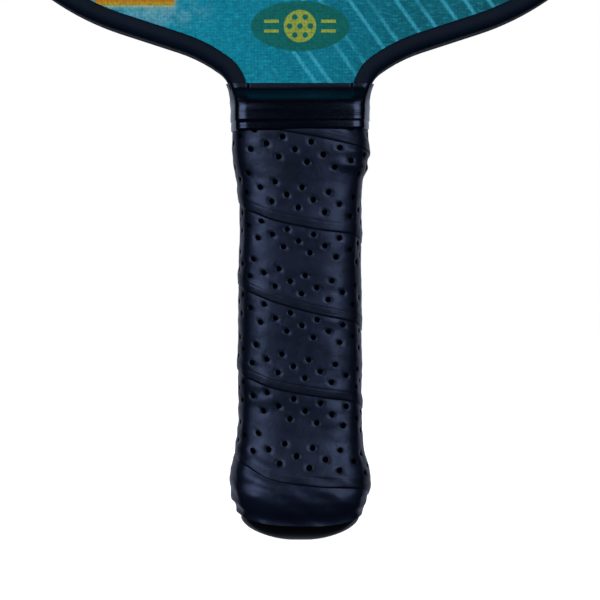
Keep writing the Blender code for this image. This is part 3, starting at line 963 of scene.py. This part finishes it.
@dataclass
class FinishingTape:
    """Vinyl tape wound over the top of the grip, the foot of the board and the guard's ends."""

    material: bpy.types.Material

    outside = [
        (118.5, 19.75, 13.45), (118.7, 19.95, 13.62), (121.0, 20.0, 13.66), (121.25, 20.2, 13.84),
        (124.5, 20.2, 13.84), (126.0, 20.25, 13.6), (127.2, 20.3, 12.8), (128.2, 20.4, 11.5),
        (129.2, 20.6, 10.2), (130.2, 20.85, 9.3), (131.0, 21.1, 9.0), (131.9, 21.45, 8.95),
    ]

    def build(self) -> bpy.types.Object:
        """Wraps the tape as a closed skin 0.35 mm thick."""
        heights = [118.5, 118.58, 118.7, 119.2, 119.8, 120.4, 120.9, 121.08, 121.25, 121.6, 122.2, 123.0]
        heights += [123.8, 124.6, 125.3, 125.9, 126.5, 127.0, 127.5, 128.0, 128.5, 129.0, 129.5, 130.0]
        heights += [130.5, 131.0, 131.4, 131.75, 131.9]
        around = 320
        rows = [(height, 0.0) for height in heights] + [(height, -0.35) for height in reversed(heights)]
        rows.append(rows[0])

        def place(column: int, row: int) -> Vector:
            """Puts a crossing of the tape in place."""
            height, lift = rows[row]
            return self.skin(column / around, height, lift)

        mesh = laid_grid(around + 1, len(rows), place)
        bmesh.ops.remove_doubles(mesh, verts=mesh.verts, dist=0.002 * MM)
        bmesh.ops.recalc_face_normals(mesh, faces=mesh.faces)
        piece = finish_piece(mesh, "vinyl_finishing_tape", self.material)
        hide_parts("finishing_tape")
        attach(piece, "root")
        return piece

    def skin(self, turn: float, height: float, lift: float) -> Vector:
        """A place on the tape.

        Args:
            turn: Share of the way round.
            height: Height in millimetres.
            lift: Millimetres outside the tape's face.

        Returns:
            The place, in metres.
        """
        wide, deep = along(self.outside, height)
        # The corners sharpen towards the board, where the tape is pulled flat
        sharp = smooth(126.0, 129.0, height)
        crown, curl = 5.0 - 4.0 * sharp, 9.0 - 5.0 * sharp
        section = RoundedSection(wide, deep, crown, curl, curl_turn=22.0, corner=1.5, side_turn=74.0)
        flat, out = section.at(turn)
        dip = 1.35 * smooth(126.5, 129.8, height) * (1.0 - smooth(14.5, 15.3, abs(flat.x)))
        y = flat.y - math.copysign(dip, flat.y) * abs(out.y) ** 2
        spot = Vector((flat.x, y, height))
        wave = 0.16 * noise.noise(Vector((flat.x / 16.0, flat.y / 16.0, height / 2.2)))
        wave *= 1.0 - smooth(130.0, 131.5, height)
        tilt = 0.45 * math.sin(2.0 * math.pi * (turn - 0.1)) * (1.0 - smooth(118.5, 124.0, height))
        return (spot + out * (lift + wave) + Vector((0.0, 0.0, tilt))) * MM


@dataclass
class ButtCap:
    """Moulded cap with a domed end and a skirt that grips the handle's foot."""

    material: bpy.types.Material
    around: int = 120

    def rows(self) -> list[tuple[float, float, float]]:
        """Height and half width and depth of each ring, from the inner floor round to the dome's middle."""
        rings = [(6.2, 0.0, 0.0), (6.2, 8.0, 5.0), (6.2, 15.4, 10.7), (6.5, 15.7, 11.1)]
        rings += [(28.0, 15.8, 11.2), (28.5, 16.0, 11.4), (28.5, 16.6, 11.8), (28.1, 16.8, 12.0)]
        rings += [(24.0, 17.2, 12.3), (21.5, 18.0, 13.3), (18.4, 18.5, 14.0), (13.8, 17.9, 13.5)]
        rings += [(10.0, 17.1, 12.7), (7.9, 16.3, 12.0), (7.4, 16.5, 12.2), (7.1, 17.0, 12.7)]
        for share in (0.0, 0.04, 0.1, 0.18, 0.28, 0.38, 0.48, 0.58, 0.67, 0.75, 0.82, 0.88, 0.93, 0.97, 1.0):
            size = math.sqrt(max(0.0, 1.0 - share**1.7))
            rings.append((6.7 * (1.0 - share), 17.1 * size, 12.8 * size))
        return rings

    def build(self) -> bpy.types.Object:
        """Builds the cap as one closed shell."""
        rings = self.rows()
        section = RoundedSection(17.1, 12.8, crown=8.0, curl=12.0, curl_turn=28.0, corner=4.6, side_turn=66.0)

        def place(column: int, row: int) -> Vector:
            """Puts a crossing of the shell in place."""
            height, wide, deep = rings[row]
            if wide == 0.0:
                return Vector((0.0, 0.0, height * MM))
            flat, _ = section.at(column / self.around)
            flat_x, flat_y = flat.x * wide / section.half_width, flat.y * deep / section.half_depth
            return Vector((flat_x, flat_y, height)) * MM

        mesh = laid_grid(self.around + 1, len(rings), place)
        bmesh.ops.remove_doubles(mesh, verts=mesh.verts, dist=0.002 * MM)
        bmesh.ops.recalc_face_normals(mesh, faces=mesh.faces)
        piece = finish_piece(mesh, "domed_butt_cap", self.material)
        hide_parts("butt_cap")
        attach(piece, "root")
        return piece


@dataclass
class Studio:
    """White sweep, two large soft boxes in front, two high ones behind and a soft fill."""

    distance: float = 0.9
    eye_height: float = 0.0695
    lens: float = 186.2
    box_distance: float = 1.3

    def softbox(self, name: str, turn: float, height: float, size: Shape, power: float) -> None:
        """Hangs a soft box that looks at the object.

        Args:
            name: Its name.
            turn: Degrees round the object from the front, towards the right.
            height: Height of its middle, in metres.
            size: Its width and height, in metres.
            power: Watts.
        """
        data = bpy.data.lights.new(name, "AREA")
        data.shape = "RECTANGLE"
        data.size, data.size_y = size
        data.energy = power
        lamp = bpy.data.objects.new(name, data)
        angle = math.radians(turn)
        lamp.location = (self.box_distance * math.sin(angle), -self.box_distance * math.cos(angle), height)
        aim = Vector((0.0, 0.0, 0.12)) - Vector(lamp.location)
        lamp.rotation_euler = aim.to_track_quat("-Z", "Y").to_euler()
        lamp.visible_camera = False
        bpy.context.scene.collection.objects.link(lamp)

    def sky(self) -> None:
        """White to look at, a weak even fill, and a brighter wall behind that rims the sides."""
        world = bpy.data.worlds.new("studio")
        world.use_nodes = True
        bpy.context.scene.world = world
        tree = world.node_tree
        tree.nodes.clear()
        seen = add(tree, "LightPath").outputs["Is Camera Ray"]
        way = add(tree, "SeparateXYZ", {"Vector": add(tree, "TexCoord").outputs["Generated"]})
        back = add(
            tree,
            "MapRange",
            {"Value": way.outputs["Y"]},
            {"From Min": 0.66, "From Max": 0.96, "To Min": 0.033, "To Max": 0.55},
            interpolation_type="SMOOTHSTEP",
        )
        fill = add(tree, "Background", {"Strength": back.outputs["Result"]}, {"Color": linear("d6e2ff")})
        plain = add(tree, "Background", values={"Color": (1.0, 1.0, 1.0, 1.0), "Strength": 1.0})
        mix = add(tree, "MixShader", {0: seen, 1: fill.outputs[0], 2: plain.outputs[0]})
        add(tree, "OutputWorld", {"Surface": mix.outputs[0]})

    def floor(self) -> None:
        """Lays a pale floor that meets the white behind it."""
        mesh = bmesh.new()
        bmesh.ops.create_grid(mesh, x_segments=8, y_segments=8, size=6.0)
        material, tree = new_material("white_sweep")
        diffuse = add(tree, "BsdfDiffuse", values={"Color": linear("9a9a9a")})
        glow = add(tree, "Emission", values={"Strength": 1.0})
        both = add(tree, "AddShader", {0: diffuse.outputs[0], 1: glow.outputs[0]})
        add(tree, "OutputMaterial", {"Surface": both.outputs[0]})
        sweep = finish_piece(mesh, "white_floor", material)
        sweep.visible_diffuse = False
        sweep.visible_glossy = False
        sweep.visible_shadow = False

    def camera(self) -> None:
        """Sets the camera level, straight in front."""
        data = bpy.data.cameras.new("front")
        data.sensor_width = 36.0
        data.lens = self.lens
        data.clip_end = 50.0
        eye = bpy.data.objects.new("front", data)
        eye.location = (0.0, -self.distance, self.eye_height)
        eye.rotation_euler = (math.radians(90.0), 0.0, 0.0)
        bpy.context.scene.collection.objects.link(eye)
        bpy.context.scene.camera = eye

    def build(self) -> None:
        """Sets up light, floor and camera."""
        self.softbox("left_box", -30.0, 0.46, (0.56, 0.92), 8.6)
        self.softbox("right_box", 27.0, 0.46, (0.5, 0.92), 7.0)
        self.softbox("rear_left_box", -150.0, 1.5, (0.8, 0.8), 15.0)
        self.softbox("rear_right_box", 150.0, 1.5, (0.8, 0.8), 15.0)
        self.sky()
        self.floor()
        self.camera()
        bpy.context.scene.view_settings.view_transform = "Standard"


@dataclass
class Paddle:
    """The whole paddle: new pieces and the dressed frame."""

    def dress(self) -> None:
        """Gives the frame's own parts their finishes."""
        film = PrintedFilm().build()
        # Glass cloth pressed flat in clear resin: pale amber with a faint cloth grain
        skin = GrainedPlastic("glass_laminate", "b9b48f", "cfcaa6", 0.4, grain_mm=0.9, relief=0.2).build()
        # Polypropylene drawn into cells: milky and waxy
        core = GrainedPlastic("extruded_polypropylene", "d9dcdc", "eceeee", 0.4, 1.2, relief=0.1).build()
        # Polyurethane cast as a block and cut: cream, dull and open-pored
        foam = GrainedPlastic("rigid_foam", "c9b98c", "d8c99d", 0.8, grain_mm=0.5, relief=0.5).build()
        # Soft foam cut in strips and coated with adhesive: black and dead matt
        pad = GrainedPlastic("foam_strip", "1b1b1d", "26262a", 0.85, grain_mm=0.4, relief=0.5).build()
        wire = DrawnSteelWire().build()
        finishes = {
            "front_print_film": film,
            "rear_print_film": film,
            "front_skin": skin,
            "rear_skin": skin,
            "honeycomb_core": core,
            "handle_pallet_front": foam,
            "handle_pallet_rear": foam,
            "guard_adhesive_strip": pad,
            "cap_staple_front": wire,
            "cap_staple_rear": wire,
        }
        for name, material in finishes.items():
            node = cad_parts[name]
            for slot in node.material_slots:
                slot.material = material
            LOG.info("dressed %s", name)

    def build(self) -> None:
        """Builds each new piece and logs it."""
        # Vinyl pushed through a die: navy black, even along its length, with a low satin shine
        guard = GrainedPlastic(
            "extruded_vinyl", "03101f", "061528", 0.6, 0.5, 0.12, ior=1.5, gloss=0.10
        ).build()
        # Foam seen down the holes, made near-black and barely reflecting: painted shade that stands in for
        # the depth the shallow holes lack
        foam = GrainedPlastic("painted_shade_hole_lining", "010102", "020203", 0.9, 0.3, 0.4, ior=1.06).build()
        # Polypropylene shot into a smooth mould: black with a soft highlight
        cap = GrainedPlastic("moulded_polypropylene", "020207", "04040a", 0.4, 0.5, 0.1, gloss=0.3).build()
        pieces = [
            EdgeGuard(HeadOutline(), guard),
            SpiralGrip(CushionLeather().build(), foam),
            FinishingTape(GlossVinyl().build()),
            ButtCap(cap),
        ]
        for maker in pieces:
            piece = maker.build()
            LOG.info("%s: %d faces", piece.name, len(piece.data.polygons))
        self.dress()


def main() -> None:
    """Builds the paddle and its studio."""
    logging.basicConfig(level=logging.INFO, format="%(name)s: %(message)s")
    Paddle().build()
    Studio().build()


if __name__ == "__main__":
    main()
